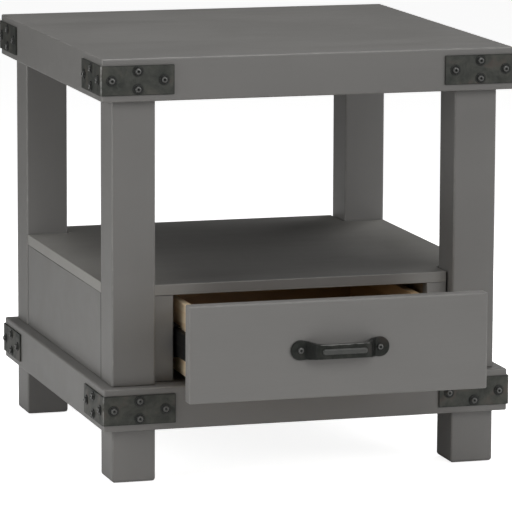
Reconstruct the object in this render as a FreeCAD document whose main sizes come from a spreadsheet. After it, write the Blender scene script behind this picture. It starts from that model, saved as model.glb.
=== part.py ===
import FreeCAD, Part
import math
import os
import Sketcher

# A side table: two slabs bound at the corners with screwed brackets, four posts, four feet, and a shelf
# over a one-drawer cabinet.  Millimetres; the front faces -Y, +Z is up, and the origin is on the floor
# under the middle of the table.  The drawer stands part way out, at open_travel.

doc = FreeCAD.newDocument("side_table")
sheet = doc.addObject("Spreadsheet::Sheet", "sizes")

SIZES = [
    ("table_width", 610, "top slab, left to right"),
    ("table_depth", 610, "top slab, front to back"),
    ("table_height", 610, "floor to the top face"),
    ("slab_height", 61, "edge of the top slab"),
    ("base_level", 140.5, "floor to the base slab's upper face"),
    ("base_height", 61.5, "edge of the base slab"),
    ("base_inset", 3, "base slab inside the top slab's edge"),
    ("rail_thick", 18, "mitred edge rails of both slabs"),
    ("panel_thick", 18, "flush panel between the rails"),
    ("underside_thick", 6, "board that closes the top slab from below"),
    ("slab_round", 2.5, "eased edges of the slabs"),
    ("block_size", 80, "square blocks in the slabs' corners"),
    ("post_size", 63.5, "square posts and feet"),
    ("post_inset", 19, "post inside the top slab's edge"),
    ("post_round", 3, "upright edges of posts and feet"),
    ("post_end_round", 2, "bottom edges of the posts"),
    ("foot_round", 4.5, "bottom edges of the feet"),
    ("glide_radius", 12, "plastic glide under a foot"),
    ("glide_thick", 4, "glide"),
    ("glide_proud", 1.5, "glide below the foot"),
    ("stud_radius", 4, "threaded studs through the slabs into posts and feet"),
    ("stud_reach", 38, "stud in a post or a foot"),
    ("bore_play", 0.1, "bore beyond its screw or stud, on the radius"),
    ("shelf_level", 281, "floor to the shelf's upper face"),
    ("shelf_thick", 15.5, "shelf"),
    ("shelf_setback", 21, "shelf and cabinet front behind the posts' front faces"),
    ("post_gap", 2.5, "shelf, side panels and stiles clear of the posts"),
    ("reveal", 1, "side and back panels inside the posts' outer faces"),
    ("side_thick", 19, "side panels"),
    ("back_thick", 9, "back panel"),
    ("stile_width", 29.8, "stile between post and drawer opening"),
    ("stile_thick", 18, "stile"),
    ("partition_thick", 18, "boards that carry the slides"),
    ("board_ease", 1, "eased edges of the painted boards"),
    ("open_travel", 163, "drawer out of the closed position"),
    ("front_thick", 18.5, "drawer front"),
    ("front_gap", 4, "drawer front to post, each side"),
    ("front_lift", 3, "drawer front above the base slab"),
    ("front_round", 2.5, "edges of the drawer front"),
    ("close_gap", 1.3, "closed drawer front off the stiles"),
    ("box_thick", 12, "drawer box boards"),
    ("box_lift", 9.5, "drawer box above the base slab"),
    ("box_headroom", 13.1, "drawer box under the shelf"),
    ("box_back_space", 85, "closed drawer box to the back panel"),
    ("box_ease", 1.5, "top edges of the drawer box"),
    ("bottom_thick", 5, "drawer bottom"),
    ("bottom_lift", 8, "drawer bottom above the box's lower edge"),
    ("groove_deep", 6, "groove for the drawer bottom"),
    ("groove_play", 0.2, "groove wider than the bottom"),
    ("slide_space", 12.7, "width of a slide"),
    ("slide_lift", 47, "middle of the slide above the box's lower edge"),
    ("slide_start", 3, "slide behind the cabinet front"),
    ("slide_short", 5, "slide shorter than the drawer box"),
    ("slide_height", 45.5, "cabinet member of the slide"),
    ("race_gap", 3, "between nested members, where the balls run"),
    ("steel", 1, "sheet of the slides"),
    ("drawer_web", 1.2, "sheet of the drawer member"),
    ("screw_room", 1.3, "for screw heads, between the cabinet member's web and the outer cage"),
    ("web_play", 0.5, "between the other nested webs"),
    ("edge_play", 1.8, "cabinet and middle members' edges off the drawer side"),
    ("cage_play", 1.3, "outer cage's edge inside the members' edges"),
    ("cage_back", 1.2, "inner cage's edge off the drawer member's web"),
    ("cage_sheet", 0.6, "ball cage"),
    ("cage_length", 190, "ball cage"),
    ("ball_play", 0.3, "bearing balls clear of the races, each side"),
    ("ball_pitch", 36, "balls along a cage"),
    ("bracket_leg", 104.5, "bracket along the slab from its corner"),
    ("bracket_tall", 42, "bracket"),
    ("bracket_thick", 2.5, "bracket plate"),
    ("bracket_bend", 3.2, "outer bend of the bracket"),
    ("screw_near", 13.5, "first bracket screw from the slab's corner"),
    ("screw_mid", 51.5, "middle pair of bracket screws"),
    ("screw_far", 89.5, "last bracket screw"),
    ("screw_rise", 12.7, "middle pair above and below the bracket's centre line"),
    ("screw_radius", 2.5, "bracket screw's shank"),
    ("screw_length", 9.5, "bracket screw in the rail"),
    ("head_radius", 4.5, "button head"),
    ("head_tall", 2.75, "button head"),
    ("head_dome", 2.2, "button head's rounding"),
    ("socket_radius", 1.75, "hexagon socket, to its corners"),
    ("socket_deep", 1.6, "hexagon socket"),
    ("washer_radius", 7, "washer under a bracket screw"),
    ("washer_thick", 1.2, "washer"),
    ("pull_spacing", 116, "screws of the pull"),
    ("pull_plate", 14, "radius of the pull's end plates"),
    ("pull_plate_thick", 3.5, "end plates"),
    ("pull_stand", 24, "pull off the drawer front"),
    ("pull_strap", 5, "strap thickness"),
    ("pull_half_height", 10.3, "strap, half its height"),
    ("pull_bend", 38, "middle of the pull to the outer bend"),
    ("pull_bend_outer", 11, "outer rounding of the strap's bends"),
    ("pull_bend_inner", 6, "inner rounding of the strap's bends"),
    ("pull_foot_bend", 4, "strap's rounding into its end plates"),
    ("pull_foot", 7, "strap's root from the plate's middle, towards the pull's middle"),
    ("pull_root", 5.5, "strap's width where it leaves the drawer front"),
    ("pull_flare", 2, "strap's full width ends this far inside the screws"),
    ("pull_neck", 1, "strap's slim part starts this far inside the bends"),
    ("plate_rim", 1.05, "rounding of the end plates' rims"),
    ("bead_length", 66, "raised bead on the strap"),
    ("bead_height", 9, "bead"),
    ("bead_proud", 3, "bead off the strap"),
    ("bead_root", 0.5, "bead sunk in the strap"),
    ("round_spare", 0.05, "left flat between two roundings that almost meet"),
    ("pull_screw_radius", 2, "screws of pull and drawer front"),
    ("pull_screw_length", 26, "pull screw in the wood"),
    ("small_screw_radius", 1.75, "screws of the slides"),
    ("small_head_radius", 3.6, "their heads"),
    ("small_head_tall", 0.9, "their heads"),
    ("slide_screw_length", 10.5, "slide screw in the wood"),
    ("front_screw_x", 120, "drawer-front screws from the middle"),
    ("front_screw_rise", 30, "drawer-front screws above and below the box's middle"),
    ("front_screw_length", 25, "drawer-front screw in the wood"),
    ("cut_margin", 10, "cutting outlines beyond the stock"),
]

for row, (alias, value, note) in enumerate(SIZES, start=1):
    sheet.set(f"A{row}", alias)
    sheet.set(f"B{row}", str(value))
    sheet.set(f"C{row}", note)
    sheet.setAlias(f"B{row}", alias)
doc.recompute()

SIZE = {alias: float(sheet.get(alias)) for alias, _, _ in SIZES}
NODES = []


# ---------------------------------------------------------------- helpers

def cell(text):
    """An expression with each size's name turned into a reference to its cell."""
    words, word = [], ""
    for letter in text + " ":
        if letter.isalnum() or letter in "_.":
            word += letter
            continue
        words.append(f"sizes.{word}" if word in SIZE else word)
        words.append(letter)
        word = ""
    return "".join(words).strip()


def bind(thing, **properties):
    for name, text in properties.items():
        thing.setExpression(name.replace("__", "."), cell(text))


def node(thing, label):
    """Keep an object as one of the table's pieces, under its own label."""
    thing.Label = label
    NODES.append(thing)
    return thing


def body(label):
    made = doc.addObject("PartDesign::Body", label)
    made.Label = label
    return made


def origin_plane(host, role):
    return next(item for item in host.Origin.OriginFeatures if item.Role == role)


def sketch_on(host, name, role, offset):
    """A sketch on one of the body's own origin planes, moved along that plane's normal.
    XY_Plane looks along +Z, XZ_Plane along -Y and YZ_Plane along +X."""
    sketch = host.newObject("Sketcher::SketchObject", name)
    sketch.AttachmentSupport = [(origin_plane(host, role), "")]
    sketch.MapMode = "FlatFace"
    sketch.setExpression("AttachmentOffset.Base.z", cell(offset))
    return sketch


def constrain(sketch, kind, reference, start, text):
    index = sketch.addConstraint(Sketcher.Constraint(kind, *reference, start))
    sketch.setExpression(f"Constraints[{index}]", cell(text))


def add_outline(sketch, corners):
    """A closed outline of straight lines, each corner placed by its own two dimensions."""
    first = sketch.GeometryCount
    count = len(corners)
    start = [FreeCAD.Vector(50 * math.cos(0.3 + math.tau * i / count),
                            50 * math.sin(0.3 + math.tau * i / count), 0) for i in range(count)]
    for i in range(count):
        sketch.addGeometry(Part.LineSegment(start[i], start[(i + 1) % count]))
    for i in range(count):
        joined = Sketcher.Constraint("Coincident", first + i, 2, first + (i + 1) % count, 1)
        sketch.addConstraint(joined)
    for i, (across, up) in enumerate(corners):
        constrain(sketch, "DistanceX", (-1, 1, first + i, 1), start[i].x, across)
        constrain(sketch, "DistanceY", (-1, 1, first + i, 1), start[i].y, up)


def add_circle(sketch, across, up, radius):
    index = sketch.addGeometry(Part.Circle(FreeCAD.Vector(5, 5, 0), FreeCAD.Vector(0, 0, 1), 3))
    constrain(sketch, "DistanceX", (-1, 1, index, 3), 5, across)
    constrain(sketch, "DistanceY", (-1, 1, index, 3), 5, up)
    constrain(sketch, "Radius", (index,), 3, radius)


def rectangle(x0, x1, y0, y1):
    return [(x0, y0), (x1, y0), (x1, y1), (x0, y1)]


def outline(host, name, role, offset, corners):
    sketch = sketch_on(host, name, role, offset)
    add_outline(sketch, corners)
    return sketch


def circles(host, name, role, offset, centres, radius):
    sketch = sketch_on(host, name, role, offset)
    for across, up in centres:
        add_circle(sketch, across, up, radius)
    return sketch


def pad(host, name, sketch, length, backwards=False):
    made = host.newObject("PartDesign::Pad", name)
    made.Profile = sketch
    made.Reversed = backwards
    bind(made, Length=length)
    doc.recompute()
    return made


def pocket(host, name, sketch, length, backwards=False):
    """Cut against the sketch's normal, or along it if backwards.  It must take something away."""
    before = host.Shape.Volume
    made = host.newObject("PartDesign::Pocket", name)
    made.Profile = sketch
    made.Reversed = backwards
    bind(made, Length=length)
    doc.recompute()
    if host.Shape.Volume > before - 1e-3:
        raise RuntimeError(f"{host.Label}: {name} cut nothing")
    return made


def fillet(host, name, radius, choose):
    """Round the edges that choose() accepts."""
    last = host.Tip
    edges = [f"Edge{i}" for i, edge in enumerate(last.Shape.Edges, start=1) if choose(edge)]
    if not edges:
        raise RuntimeError(f"{host.Label}: {name} found no edge")
    made = host.newObject("PartDesign::Fillet", name)
    made.Base = (last, edges)
    bind(made, Radius=radius)
    doc.recompute()
    return made


def along(edge, axis):
    """Is the edge a straight one along X, Y or Z (axis 0, 1 or 2)?"""
    box = edge.BoundBox
    spans = [box.XLength, box.YLength, box.ZLength]
    rest = sum(spans) - spans[axis]
    return len(edge.Vertexes) == 2 and rest < 1e-4 < spans[axis]


def edge_at(edge, axis, place):
    """Does the whole edge lie at this place on the axis?"""
    box = edge.BoundBox
    low, high = [(box.XMin, box.XMax), (box.YMin, box.YMax), (box.ZMin, box.ZMax)][axis]
    return abs(low - place) < 1e-3 and abs(high - place) < 1e-3


def board(label, x0, x1, y0, y1, z0, z1):
    """A plain board between two places on each axis."""
    made = doc.addObject("Part::Box", label)
    bind(made, Length=f"({x1}) - ({x0})", Width=f"({y1}) - ({y0})", Height=f"({z1}) - ({z0})",
         Placement__Base__x=x0, Placement__Base__y=y0, Placement__Base__z=z0)
    return node(made, label)


def copies(label, *groups):
    """One piece that holds separate solids: for each master and its places, a copy at every place."""
    made = doc.addObject("Part::Feature", label)
    solids = []
    for master, places in groups:
        for place in places:
            solid = master.Shape.copy()
            solid.Placement = place.multiply(solid.Placement)
            solids.append(solid)
    made.Shape = Part.makeCompound(solids)
    return node(made, label)


def facing(point, direction):
    """A placement that turns a screw's own -Z, its shank, to point along a direction."""
    turn = FreeCAD.Rotation(FreeCAD.Vector(0, 0, -1), direction)
    return FreeCAD.Placement(point, turn)


# ---------------------------------------------------------------- places that several pieces share

HALF_X = "table_width / 2"
HALF_Y = "table_depth / 2"
BASE_X = f"({HALF_X} - base_inset)"
BASE_Y = f"({HALF_Y} - base_inset)"
TOP_LOW = "(table_height - slab_height)"
BASE_LOW = "(base_level - base_height)"
POST_OUT_X = f"({HALF_X} - post_inset)"
POST_OUT_Y = f"({HALF_Y} - post_inset)"
POST_IN_X = f"({POST_OUT_X} - post_size)"
POST_IN_Y = f"({POST_OUT_Y} - post_size)"
POST_MID_X = f"({POST_OUT_X} - post_size / 2)"
POST_MID_Y = f"({POST_OUT_Y} - post_size / 2)"
SHELF_LOW = "(shelf_level - shelf_thick)"
FRONT_Y = f"(shelf_setback - {POST_OUT_Y})"
INNER_X = f"({POST_IN_X} - post_gap)"
INNER_Y = f"({POST_IN_Y} - post_gap)"
SKIN_X = f"({POST_OUT_X} - reveal)"
SKIN_Y = f"({POST_OUT_Y} - reveal)"
OPENING = f"({INNER_X} - stile_width)"
BOX_X = f"({OPENING} - slide_space)"
BOX_LOW = "(base_level + box_lift)"
BOX_HIGH = f"({SHELF_LOW} - box_headroom)"
CLOSED_Y = f"({FRONT_Y} - close_gap)"
BOX_BACK_Y = f"({SKIN_Y} - back_thick - box_back_space)"
SLIDE_Y = f"({FRONT_Y} + slide_start)"
SLIDE_LENGTH = f"({BOX_BACK_Y} - {CLOSED_Y} - slide_short)"
SLIDE_Z = f"({BOX_LOW} + slide_lift)"
PULL_Z = "(base_level + front_lift + (shelf_level - base_level - front_lift) / 2)"

# Bracket screws in a diamond: from the slab's corner, and above the bracket's centre line.
BRACKET_STEPS = [("screw_near", "0"), ("screw_mid", "screw_rise"), ("screw_mid", "-screw_rise"),
                 ("screw_far", "0")]

CORNERS = {"front_left": (-1, -1), "front_right": (1, -1), "back_left": (-1, 1), "back_right": (1, 1)}
SIDES = {"left": -1, "right": 1}


def number(text):
    """The present value of an expression made of sizes, plus, minus, times and divide."""
    probe = doc.getObject("probe") or doc.addObject("App::FeaturePython", "probe")
    if "result" not in probe.PropertiesList:
        probe.addProperty("App::PropertyFloat", "result")
    probe.setExpression("result", cell(text))
    probe.recompute()
    return probe.result


# ---------------------------------------------------------------- slabs

def rail_cut(half_x, half_y, side):
    """The outline that leaves one mitred rail of a slab: all but a trapezium along that side."""
    mx, my = f"({half_x} + cut_margin)", f"({half_y} + cut_margin)"
    ix, iy = f"({half_x} - rail_thick)", f"({half_y} - rail_thick)"
    if side in ("front", "back"):
        corners = [(f"-{mx}", f"-{my}"), (f"-{ix}", f"-{iy}"), (ix, f"-{iy}"), (mx, f"-{my}"),
                   (mx, my), (f"-{mx}", my)]
        if side == "back":
            corners = [(x, f"-1 * {y}") for x, y in corners]
    else:
        corners = [(f"-{mx}", f"-{my}"), (f"-{ix}", f"-{iy}"), (f"-{ix}", iy), (f"-{mx}", my),
                   (mx, my), (mx, f"-{my}")]
        if side == "right":
            corners = [(f"-1 * {x}", y) for x, y in corners]
    return corners


def bracket_holes(half, middle_z):
    """Centres of the bracket screws along one side of a slab: its two ends, four at each."""
    return [(f"{sign} * ({half} - {step})", f"{middle_z} + {rise}")
            for sign in (-1, 1) for step, rise in BRACKET_STEPS]


def slab_rail(name, half_x, half_y, low, height, side):
    rail = body(name)
    stock = outline(rail, "stock", "XY_Plane", low,
                    rectangle(f"-{half_x}", half_x, f"-{half_y}", half_y))
    pad(rail, "slab", stock, height)
    fillet(rail, "eased", "slab_round", lambda edge: True)
    waste = outline(rail, "mitres", "XY_Plane", f"{low} + {height}", rail_cut(half_x, half_y, side))
    pocket(rail, "rail_shape", waste, height)
    middle_z = f"{low} + {height} / 2"
    if side in ("front", "back"):
        sign = -1 if side == "front" else 1
        holes = circles(rail, "screw_marks", "XZ_Plane", f"{-sign} * {half_y}",
                        bracket_holes(half_x, middle_z), "screw_radius + bore_play")
        pocket(rail, "screw_holes", holes, "screw_length + bore_play", backwards=side == "back")
    else:
        sign = -1 if side == "left" else 1
        holes = circles(rail, "screw_marks", "YZ_Plane", f"{sign} * {half_x}",
                        bracket_holes(half_y, middle_z), "screw_radius + bore_play")
        pocket(rail, "screw_holes", holes, "screw_length + bore_play", backwards=side == "left")
    return node(rail, name)


def stud_marks():
    return [(f"{sx} * {POST_MID_X}", f"{sy} * {POST_MID_Y}") for sx, sy in CORNERS.values()]


def drilled_board(name, half_x, half_y, low, thick):
    """A panel let in between the rails, with a hole for each stud."""
    panel = body(name)
    ix, iy = f"({half_x} - rail_thick)", f"({half_y} - rail_thick)"
    plan = outline(panel, "edges", "XY_Plane", low, rectangle(f"-{ix}", ix, f"-{iy}", iy))
    pad(panel, "sheet", plan, thick)
    marks = circles(panel, "stud_marks", "XY_Plane", f"{low} + {thick}", stud_marks(),
                    "stud_radius + bore_play")
    pocket(panel, "stud_holes", marks, thick)
    return node(panel, name)


def make_slabs():
    ix, iy = f"({HALF_X} - rail_thick)", f"({HALF_Y} - rail_thick)"
    board("top_panel", f"-{ix}", ix, f"-{iy}", iy, "table_height - panel_thick", "table_height")
    drilled_board("top_underside", HALF_X, HALF_Y, TOP_LOW, "underside_thick")
    drilled_board("base_panel", BASE_X, BASE_Y, "base_level - panel_thick", "panel_thick")
    for side in ("front", "back", "left", "right"):
        slab_rail(f"top_rail_{side}", f"({HALF_X})", f"({HALF_Y})", TOP_LOW, "slab_height", side)
        slab_rail(f"base_rail_{side}", BASE_X, BASE_Y, BASE_LOW, "base_height", side)


def make_corner_blocks():
    """Blocks glued in the slabs' corners, over and under the posts."""
    blocks = body("corner_blocks")
    tiers = [("top", HALF_X, HALF_Y, f"{TOP_LOW} + underside_thick",
              "slab_height - panel_thick - underside_thick"),
             ("base", BASE_X, BASE_Y, BASE_LOW, "base_height - panel_thick")]
    for tier, half_x, half_y, low, tall in tiers:
        sketch = sketch_on(blocks, f"{tier}_squares", "XY_Plane", low)
        for sx, sy in CORNERS.values():
            x_out, y_out = f"{sx} * ({half_x} - rail_thick)", f"{sy} * ({half_y} - rail_thick)"
            add_outline(sketch, rectangle(x_out, f"{x_out} - {sx} * block_size",
                                          y_out, f"{y_out} - {sy} * block_size"))
        pad(blocks, f"{tier}_blocks", sketch, tall)
        marks = circles(blocks, f"{tier}_marks", "XY_Plane", f"{low} + {tall}", stud_marks(),
                        "stud_radius + bore_play")
        pocket(blocks, f"{tier}_holes", marks, tall)
    node(blocks, "corner_blocks")


# ---------------------------------------------------------------- posts, feet and what joins them

def square_stock(host, sx, sy, low, high):
    """A square upright under a slab's corner, with eased upright edges."""
    x_out, y_out = f"{sx} * {POST_OUT_X}", f"{sy} * {POST_OUT_Y}"
    x_in, y_in = f"{sx} * {POST_IN_X}", f"{sy} * {POST_IN_Y}"
    plan = outline(host, "plan", "XY_Plane", low, rectangle(x_out, x_in, y_out, y_in))
    pad(host, "stock", plan, f"({high}) - ({low})")
    fillet(host, "eased", "post_round", lambda edge: along(edge, 2))


def make_posts_and_feet():
    play = "stud_radius + bore_play"
    foot_low = "glide_proud"
    for corner, (sx, sy) in CORNERS.items():
        mark = [(f"{sx} * {POST_MID_X}", f"{sy} * {POST_MID_Y}")]
        post = body(f"post_{corner}")
        square_stock(post, sx, sy, "base_level", TOP_LOW)
        fillet(post, "worn_end", "post_end_round", lambda edge: edge_at(edge, 2, SIZE["base_level"]))
        upper = circles(post, "upper_mark", "XY_Plane", TOP_LOW, mark, play)
        pocket(post, "upper_bore", upper, "stud_reach + bore_play")
        lower = circles(post, "lower_mark", "XY_Plane", "base_level", mark, play)
        pocket(post, "lower_bore", lower, "stud_reach + bore_play", backwards=True)
        node(post, f"post_{corner}")

        foot = body(f"foot_{corner}")
        square_stock(foot, sx, sy, foot_low, BASE_LOW)
        fillet(foot, "worn_foot", "foot_round", lambda edge: edge_at(edge, 2, SIZE["glide_proud"]))
        seat = circles(foot, "glide_mark", "XY_Plane", foot_low, mark, "glide_radius + bore_play")
        pocket(foot, "glide_seat", seat, "glide_thick - glide_proud", backwards=True)
        bore = circles(foot, "stud_mark", "XY_Plane", BASE_LOW, mark, play)
        pocket(foot, "stud_bore", bore, "stud_reach + bore_play")
        node(foot, f"foot_{corner}")


def make_studs_and_glides():
    studs = body("corner_studs")
    lower = circles(studs, "lower_marks", "XY_Plane", f"{BASE_LOW} - stud_reach", stud_marks(), "stud_radius")
    pad(studs, "lower_studs", lower, "base_height + 2 * stud_reach")
    upper = circles(studs, "upper_marks", "XY_Plane", f"{TOP_LOW} - stud_reach", stud_marks(), "stud_radius")
    pad(studs, "upper_studs", upper, "slab_height - panel_thick + stud_reach")
    node(studs, "corner_studs")

    glides = body("foot_glides")
    discs = circles(glides, "discs", "XY_Plane", "0", stud_marks(), "glide_radius")
    pad(glides, "pads", discs, "glide_thick")
    fillet(glides, "rims", "glide_proud / 2", lambda edge: edge_at(edge, 2, 0))
    node(glides, "foot_glides")


# ---------------------------------------------------------------- corner brackets and their screws

def make_bracket(name, half_x, half_y, low, height, turn):
    """An L plate, made with its bend at the origin and its legs along +X and +Y, then turned in steps
    of 90 degrees round to its corner."""
    sx, sy = [(-1, -1), (1, -1), (1, 1), (-1, 1)][turn]
    bracket = body(name)
    plan = [("-bracket_thick", "-bracket_thick"), ("bracket_leg", "-bracket_thick"), ("bracket_leg", "0"),
            ("0", "0"), ("0", "bracket_leg"), ("-bracket_thick", "bracket_leg")]
    pad(bracket, "plate", outline(bracket, "plan", "XY_Plane", "-bracket_tall / 2", plan), "bracket_tall")
    outer, inner = -SIZE["bracket_thick"], 0.0
    fillet(bracket, "bend", "bracket_bend",
           lambda edge: along(edge, 2) and edge_at(edge, 0, outer) and edge_at(edge, 1, outer))
    fillet(bracket, "inside_bend", "bracket_bend - bracket_thick",
           lambda edge: along(edge, 2) and edge_at(edge, 0, inner) and edge_at(edge, 1, inner))
    radius = "screw_radius + 2 * bore_play"
    front = circles(bracket, "front_marks", "XZ_Plane", "bracket_thick", BRACKET_STEPS, radius)
    pocket(bracket, "front_holes", front, "bracket_thick")
    side = circles(bracket, "side_marks", "YZ_Plane", "-bracket_thick", BRACKET_STEPS, radius)
    pocket(bracket, "side_holes", side, "bracket_thick", backwards=True)
    leg = SIZE["bracket_leg"]
    fillet(bracket, "tips", "bracket_thick / 2",
           lambda edge: edge.BoundBox.ZLength < 1e-4 and edge.Length < 2 * SIZE["bracket_thick"]
           and (edge_at(edge, 0, leg) or edge_at(edge, 1, leg)))
    bracket.Placement.Rotation = FreeCAD.Rotation(FreeCAD.Vector(0, 0, 1), 90 * turn)
    bind(bracket, Placement__Base__x=f"{sx} * ({half_x})", Placement__Base__y=f"{sy} * ({half_y})",
         Placement__Base__z=f"{low} + {height} / 2")
    return node(bracket, name)


def bracket_screw_places(off):
    """Where a thing that stands off the slab's faces by so much goes, one place per bracket screw."""
    places = []
    tiers = [(number(HALF_X), number(HALF_Y), number(f"{TOP_LOW} + slab_height / 2")),
             (number(BASE_X), number(BASE_Y), number(f"{BASE_LOW} + base_height / 2"))]
    steps = [(number(step), number(rise)) for step, rise in BRACKET_STEPS]
    for half_x, half_y, middle_z in tiers:
        for sx, sy in CORNERS.values():
            for step, up in steps:
                front = FreeCAD.Vector(sx * (half_x - step), sy * (half_y + off), middle_z + up)
                side = FreeCAD.Vector(sx * (half_x + off), sy * (half_y - step), middle_z + up)
                places.append(facing(front, FreeCAD.Vector(0, -sy, 0)))
                places.append(facing(side, FreeCAD.Vector(-sx, 0, 0)))
    return places


def socket_corners(radius):
    return [(f"{radius} * {round(math.cos(math.radians(60 * i)), 9)}",
             f"{radius} * {round(math.sin(math.radians(60 * i)), 9)}") for i in range(6)]


def button_screw(name, shank_radius, shank_length):
    """A button-head screw: its head stands on z = 0 and its shank points down."""
    screw = body(name)
    head = circles(screw, "head_round", "XY_Plane", "0", [("0", "0")], "head_radius")
    pad(screw, "head", head, "head_tall")
    fillet(screw, "dome", "head_dome", lambda edge: edge_at(edge, 2, SIZE["head_tall"]))
    shank = circles(screw, "shank_round", "XY_Plane", "0", [("0", "0")], shank_radius)
    pad(screw, "shank", shank, shank_length, backwards=True)
    socket = outline(screw, "socket_shape", "XY_Plane", "head_tall", socket_corners("socket_radius"))
    pocket(screw, "socket", socket, "socket_deep")
    return screw


def flat_screw(name, shank_radius, shank_length):
    """A low-headed wood screw: its head stands on z = 0 and its shank points down."""
    screw = body(name)
    head = circles(screw, "head_round", "XY_Plane", "0", [("0", "0")], "small_head_radius")
    pad(screw, "head", head, "small_head_tall")
    shank = circles(screw, "shank_round", "XY_Plane", "0", [("0", "0")], shank_radius)
    pad(screw, "shank", shank, shank_length, backwards=True)
    fillet(screw, "rim", "small_head_tall / 2", lambda edge: edge_at(edge, 2, SIZE["small_head_tall"]))
    return screw


def make_brackets():
    names = ["front_left", "front_right", "back_right", "back_left"]
    for turn, corner in enumerate(names):
        make_bracket(f"top_bracket_{corner}", HALF_X, HALF_Y, TOP_LOW, "slab_height", turn)
        make_bracket(f"base_bracket_{corner}", BASE_X, BASE_Y, BASE_LOW, "base_height", turn)
    stack = "bracket_thick + washer_thick"
    screw = button_screw("bracket_screw", "screw_radius", f"screw_length + {stack}")
    copies("bracket_screws", (screw, bracket_screw_places(number(stack))))
    washer = body("bracket_washer")
    ring = sketch_on(washer, "ring", "XY_Plane", "0")
    add_circle(ring, "0", "0", "washer_radius")
    add_circle(ring, "0", "0", "screw_radius + 2 * bore_play")
    pad(washer, "disc", ring, "washer_thick")
    fillet(washer, "rim", "washer_thick / 2",
           lambda edge: edge_at(edge, 2, SIZE["washer_thick"]) and edge.Length > 6 * SIZE["washer_radius"])
    copies("bracket_washers", (washer, bracket_screw_places(SIZE["bracket_thick"])))


# ---------------------------------------------------------------- cabinet

def eased_board(name, x0, x1, y0, y1, z0, z1, choose):
    made = body(name)
    pad(made, "stock", outline(made, "plan", "XY_Plane", z0, rectangle(x0, x1, y0, y1)), f"({z1}) - ({z0})")
    fillet(made, "eased", "board_ease", choose)
    return node(made, name)


def make_shelf():
    """A board notched round all four posts."""
    shelf = body("shelf")
    plan = [(f"-{INNER_X}", FRONT_Y), (INNER_X, FRONT_Y), (INNER_X, f"-{INNER_Y}"), (SKIN_X, f"-{INNER_Y}"),
            (SKIN_X, INNER_Y), (INNER_X, INNER_Y), (INNER_X, SKIN_Y), (f"-{INNER_X}", SKIN_Y),
            (f"-{INNER_X}", INNER_Y), (f"-{SKIN_X}", INNER_Y), (f"-{SKIN_X}", f"-{INNER_Y}"),
            (f"-{INNER_X}", f"-{INNER_Y}")]
    pad(shelf, "stock", outline(shelf, "plan", "XY_Plane", SHELF_LOW, plan), "shelf_thick")
    fillet(shelf, "eased", "board_ease",
           lambda edge: edge_at(edge, 2, SIZE["shelf_level"]) or edge_at(edge, 1, number(FRONT_Y)))
    node(shelf, "shelf")


def make_cabinet():
    make_shelf()
    front_y = number(FRONT_Y)
    for name, sign in SIDES.items():
        skin, inner = number(SKIN_X), number(SKIN_Y)
        eased_board(f"side_panel_{name}", f"{sign} * {SKIN_X}", f"{sign} * ({SKIN_X} - side_thick)",
                    f"-{INNER_Y}", INNER_Y, "base_level", SHELF_LOW,
                    lambda edge: edge_at(edge, 0, sign * skin))
        eased_board(f"stile_{name}", f"{sign} * {OPENING}", f"{sign} * {INNER_X}", FRONT_Y,
                    f"{FRONT_Y} + stile_thick", "base_level", SHELF_LOW,
                    lambda edge: edge_at(edge, 1, front_y))
        make_partition(name, sign)
    eased_board("back_panel", f"-{INNER_X}", INNER_X, f"{SKIN_Y} - back_thick", SKIN_Y, "base_level",
                SHELF_LOW, lambda edge: edge_at(edge, 1, inner))


SLIDE_SCREW_SHARES = (0.08, 0.36, 0.64, 0.92)


def slide_screw_marks():
    """Four screws along a slide's middle line, each at its share of the slide's length."""
    return [(f"{SLIDE_Y} + {SLIDE_LENGTH} * {share}", SLIDE_Z) for share in SLIDE_SCREW_SHARES]


def make_partition(name, sign):
    part = body(f"partition_{name}")
    plan = rectangle(f"{sign} * {OPENING}", f"{sign} * ({OPENING} + partition_thick)",
                     f"{FRONT_Y} + stile_thick", f"{SKIN_Y} - back_thick")
    pad(part, "stock", outline(part, "plan", "XY_Plane", "base_level", plan), f"{SHELF_LOW} - base_level")
    marks = circles(part, "screw_marks", "YZ_Plane", f"{sign} * {OPENING}", slide_screw_marks(),
                    "small_screw_radius + bore_play")
    pocket(part, "pilot_holes", marks, "slide_screw_length + bore_play", backwards=sign > 0)
    node(part, f"partition_{name}")


# ---------------------------------------------------------------- slides

def from_partition(sign, off):
    """The place on X that is so far off a partition's face, towards the drawer."""
    return f"{sign} * ({OPENING} - ({off}))"


def channel_section(sign, web, edge, sheet, half_height):
    """A channel seen along Y: its web at one distance off the partition, its flanges reaching to the
    other.  The sheet is positive where the web is the nearer of the two."""
    x_web, x_edge = from_partition(sign, web), from_partition(sign, edge)
    x_inside = from_partition(sign, f"{web} + {sheet}")
    lift = "cage_sheet" if sheet == "cage_sheet" else "steel"
    high, low = f"{SLIDE_Z} + {half_height}", f"{SLIDE_Z} - {half_height}"
    return [(x_web, low), (x_edge, low), (x_edge, f"{low} + {lift}"), (x_inside, f"{low} + {lift}"),
            (x_inside, f"{high} - {lift}"), (x_edge, f"{high} - {lift}"), (x_edge, high), (x_web, high)]


def channel(name, section, start, length):
    made = body(name)
    profile = outline(made, "section", "XZ_Plane", f"-1 * ({start})", section)
    pad(made, "channel", profile, length, backwards=True)
    return made


# Distances off the partition, for the webs and edges of the nested members.
MEMBER_EDGE = "(slide_space - edge_play)"
OUTER_CAGE_WEB = "(steel + screw_room)"
OUTER_CAGE_EDGE = f"({MEMBER_EDGE} - cage_play)"
MIDDLE_WEB = f"({OUTER_CAGE_WEB} + cage_sheet + web_play)"
INNER_CAGE_WEB = f"({MIDDLE_WEB} + steel + web_play)"
INNER_CAGE_EDGE = "(slide_space - drawer_web - cage_back)"
INNER_EDGE = f"({INNER_CAGE_WEB} + cage_sheet + web_play)"
BALL_RADIUS = "(race_gap / 2 - ball_play)"

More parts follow.
